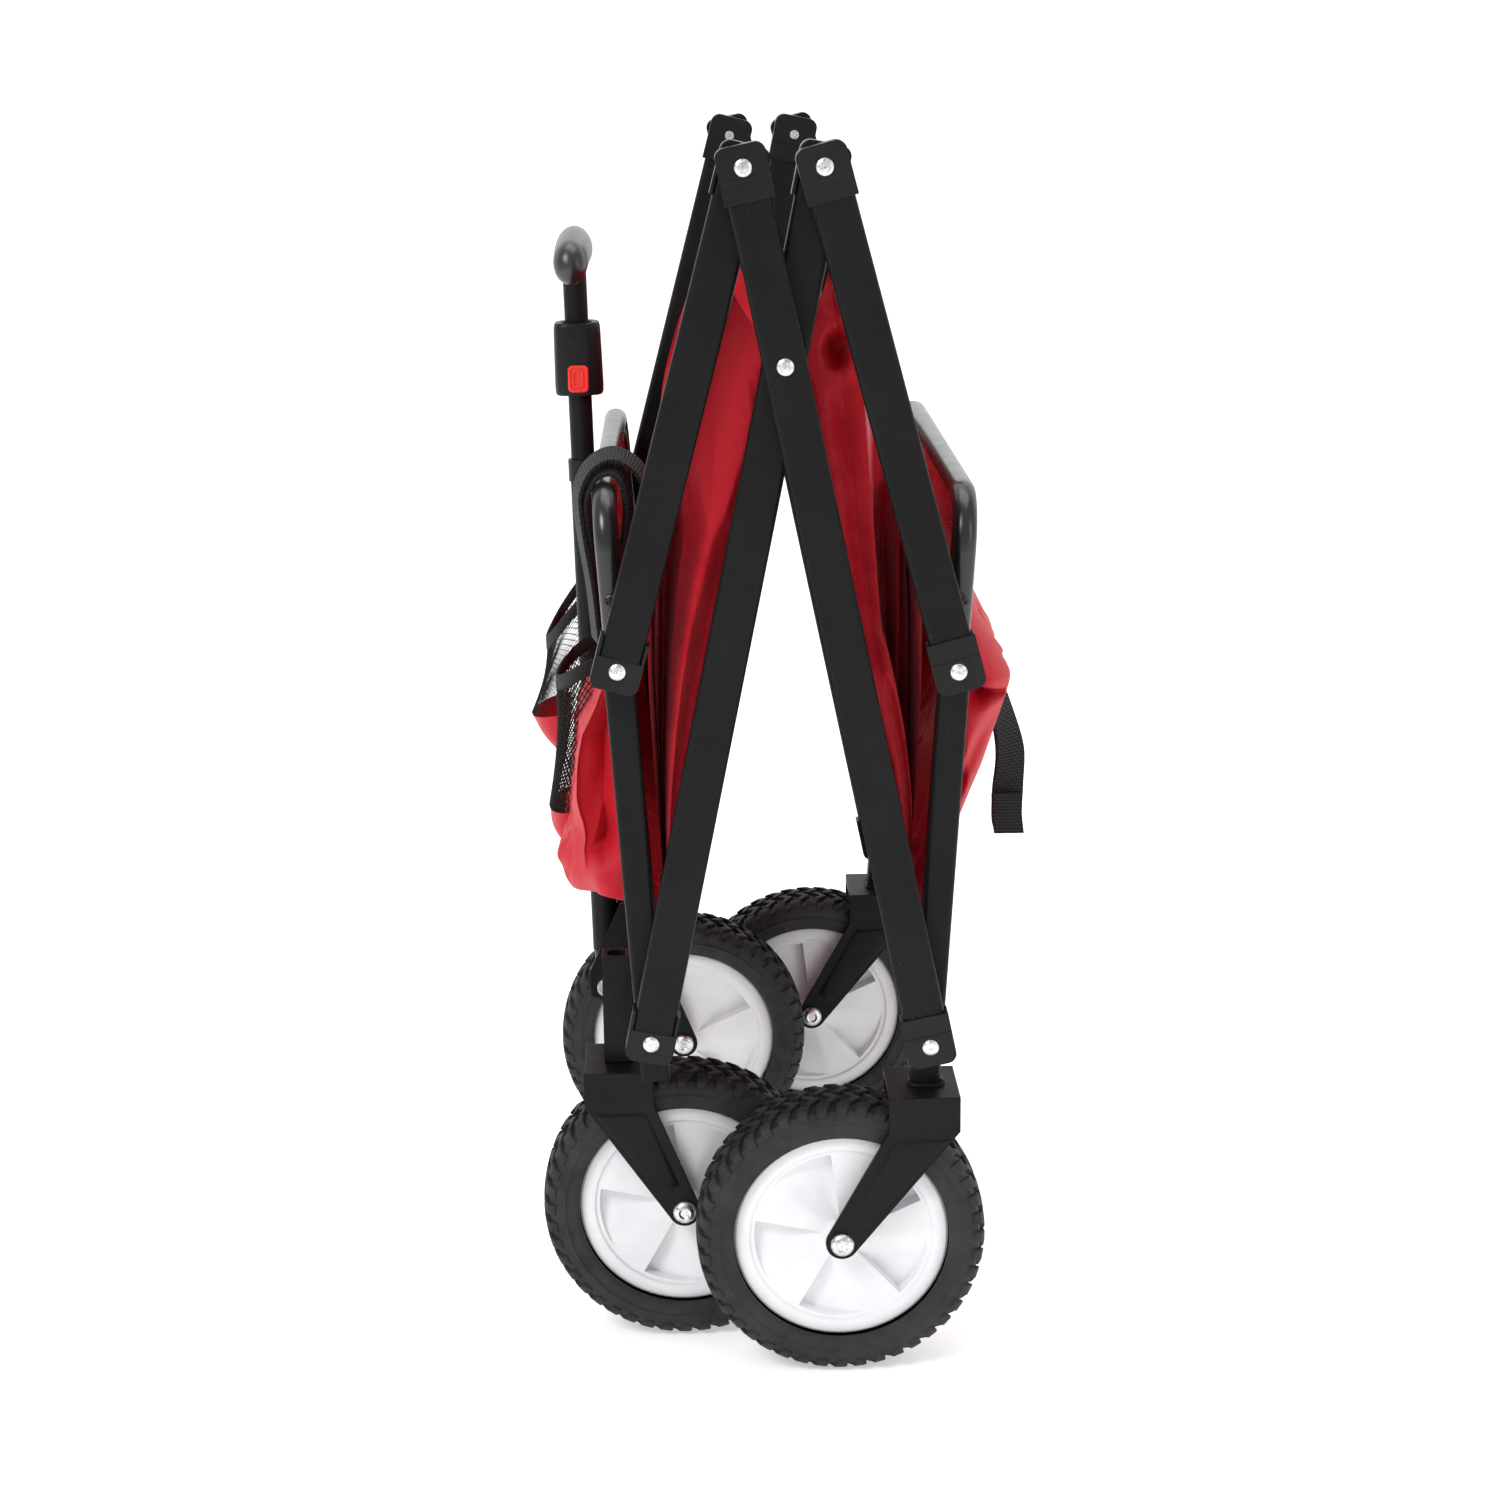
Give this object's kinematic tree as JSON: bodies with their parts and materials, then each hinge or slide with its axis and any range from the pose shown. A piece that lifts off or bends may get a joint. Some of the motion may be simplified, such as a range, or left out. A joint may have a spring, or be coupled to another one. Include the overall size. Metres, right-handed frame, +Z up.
{
  "type": "folding utility wagon",
  "caption": "Folding fabric wagon stored folded, with crossing side arms, swivel front wheels, a telescoping pull handle and mesh cup holders.",
  "frame": {"origin": "on the floor, midway between the two lower arm pivots and midway between the sides", "axes": "+Z up, -X towards the pull handle (front), -Y towards the wagon's left side"},
  "size_m": [0.3027, 0.451, 0.7461],
  "materials": {
    "black_frame": "satin black powder coat",
    "black_plastic": "moulded black plastic, fine texture",
    "zinc": "bright zinc plate",
    "white_plastic": "semi-gloss white plastic",
    "tyre": "moulded black tyre",
    "red_cloth": "red coated polyester",
    "black_webbing": "woven black webbing and mesh",
    "red_plastic": "red moulded plastic",
    "black_screw": "black oxide"
  },
  "bodies": {
    "front_frame": {"front_post_left": "black_frame", "front_post_right": "black_frame", "front_rail": "black_frame", "front_rail_screws": "black_screw", "front_crossbar": "black_frame", "front_stems": "black_frame", "handle_bracket": "black_frame", "handle_bolt": "black_screw", "front_foot_rivets": "zinc", "front_tub": "red_cloth", "cup_holders": "black_webbing", "webbing_loop": "black_webbing"},
    "front_long_arms": {"front_long_arm_left": "black_frame", "front_long_arm_right": "black_frame", "front_long_arm_caps": "black_plastic", "front_long_arm_rivets": "zinc"},
    "rear_long_arms": {"rear_long_arm_left": "black_frame", "rear_long_arm_right": "black_frame", "rear_long_arm_caps": "black_plastic", "rear_long_arm_rivets": "zinc"},
    "front_short_arms": {"front_short_arm_left": "black_frame", "front_short_arm_right": "black_frame", "front_short_arm_caps": "black_plastic", "front_short_arm_rivets": "zinc"},
    "rear_short_arms": {"rear_short_arm_left": "black_frame", "rear_short_arm_right": "black_frame", "rear_short_arm_caps": "black_plastic", "rear_short_arm_rivets": "zinc"},
    "rear_frame": {"rear_post_left": "black_frame", "rear_post_right": "black_frame", "rear_rail": "black_frame", "rear_rail_screws": "black_screw", "rear_crossbar": "black_frame", "fork_rear_left": "black_frame", "fork_rear_right": "black_frame", "rear_axles": "zinc", "rear_foot_rivets": "zinc", "rear_tub": "red_cloth", "closure_strap": "black_webbing"},
    "front_board": {"front_floor_board": "red_cloth"},
    "rear_board": {"rear_floor_board": "red_cloth"},
    "caster_left": {"fork_front_left": "black_frame", "axle_front_left": "zinc"},
    "caster_right": {"fork_front_right": "black_frame", "axle_front_right": "zinc"},
    "front_wheel_left": {"tyre_front_left": "tyre", "rim_front_left": "white_plastic"},
    "front_wheel_right": {"tyre_front_right": "tyre", "rim_front_right": "white_plastic"},
    "rear_wheel_left": {"tyre_rear_left": "tyre", "rim_rear_left": "white_plastic"},
    "rear_wheel_right": {"tyre_rear_right": "tyre", "rim_rear_right": "white_plastic"},
    "handle": {"handle_eye": "black_plastic", "handle_lower_tube": "black_frame", "handle_bush": "black_plastic"},
    "handle_top": {"handle_upper_tube": "black_frame", "handle_collar": "black_plastic", "handle_grip": "black_plastic"},
    "button": {"release_button": "red_plastic"}
  },
  "joints": [
    {"name": "fold", "type": "hinge", "parent": "front_frame", "child": "front_long_arms", "pos_m": [-0.0838, 0, 0.2139], "axis": [0, 1, 0], "range_deg": [0, 55.5], "deforming": ["front_tub", "rear_tub"]},
    {"name": "cross", "type": "hinge", "parent": "front_long_arms", "child": "rear_long_arms", "pos_m": [0, 0, 0.62188], "axis": [0, 1, 0], "range_deg": [-111, 0]},
    {"name": "rear_foot", "type": "hinge", "parent": "rear_long_arms", "child": "rear_frame", "pos_m": [0.0838, 0, 0.2139], "axis": [0, 1, 0], "range_deg": [0, 55.5]},
    {"name": "front_peak", "type": "hinge", "parent": "rear_long_arms", "child": "front_short_arms", "pos_m": [-0.02253, 0, 0.73159], "axis": [0, 1, 0], "range_deg": [0, 135.58]},
    {"name": "rear_peak", "type": "hinge", "parent": "front_long_arms", "child": "rear_short_arms", "pos_m": [0.02253, 0, 0.73159], "axis": [0, 1, 0], "range_deg": [-135.58, 0]},
    {"name": "front_board_hinge", "type": "hinge", "parent": "front_frame", "child": "front_board", "pos_m": [-0.0716, 0, 0.262], "axis": [0, 1, 0], "range_deg": [0, 78.71]},
    {"name": "rear_board_hinge", "type": "hinge", "parent": "rear_frame", "child": "rear_board", "pos_m": [0.0716, 0, 0.262], "axis": [0, 1, 0], "range_deg": [-78.71, 0]},
    {"name": "swivel_left", "type": "hinge", "parent": "front_frame", "child": "caster_left", "pos_m": [-0.105, -0.144, 0.182], "axis": [0, 0, 1], "range_deg": [0, 180]},
    {"name": "swivel_right", "type": "hinge", "parent": "front_frame", "child": "caster_right", "pos_m": [-0.105, 0.144, 0.182], "axis": [0, 0, 1], "range_deg": [-180, 0]},
    {"name": "spin_front_left", "type": "hinge", "parent": "caster_left", "child": "front_wheel_left", "pos_m": [-0.0657, -0.144, 0.089], "axis": [0, 1, 0], "continuous": true},
    {"name": "spin_front_right", "type": "hinge", "parent": "caster_right", "child": "front_wheel_right", "pos_m": [-0.0657, 0.144, 0.089], "axis": [0, 1, 0], "continuous": true},
    {"name": "spin_rear_left", "type": "hinge", "parent": "rear_frame", "child": "rear_wheel_left", "pos_m": [0.0302, -0.196, 0.089], "axis": [0, 1, 0], "continuous": true},
    {"name": "spin_rear_right", "type": "hinge", "parent": "rear_frame", "child": "rear_wheel_right", "pos_m": [0.0302, 0.196, 0.089], "axis": [0, 1, 0], "continuous": true},
    {"name": "handle_swing", "type": "hinge", "parent": "front_frame", "child": "handle", "pos_m": [-0.116, 0, 0.182], "axis": [0, -1, 0], "range_deg": [0, 100]},
    {"name": "handle_extend", "type": "slide", "parent": "handle", "child": "handle_top", "axis": [-0.0192, 0, 0.9998], "range_m": [0, 0.25]},
    {"name": "button_press", "type": "slide", "parent": "handle_top", "child": "button", "axis": [0, 1, 0], "range_m": [0, 0.0015], "stiffness_N_per_m": 800, "springref_m": -0.0005}
  ],
  "couplings": [
    {"joint": "cross", "follows": "fold", "ratio": -2},
    {"joint": "rear_foot", "follows": "fold", "ratio": 1},
    {"joint": "front_peak", "follows": "fold", "ratio": 2.4427},
    {"joint": "rear_peak", "follows": "fold", "ratio": -2.4427},
    {"joint": "front_board_hinge", "follows": "fold", "ratio": 1.418},
    {"joint": "rear_board_hinge", "follows": "fold", "ratio": -1.418}
  ]
}
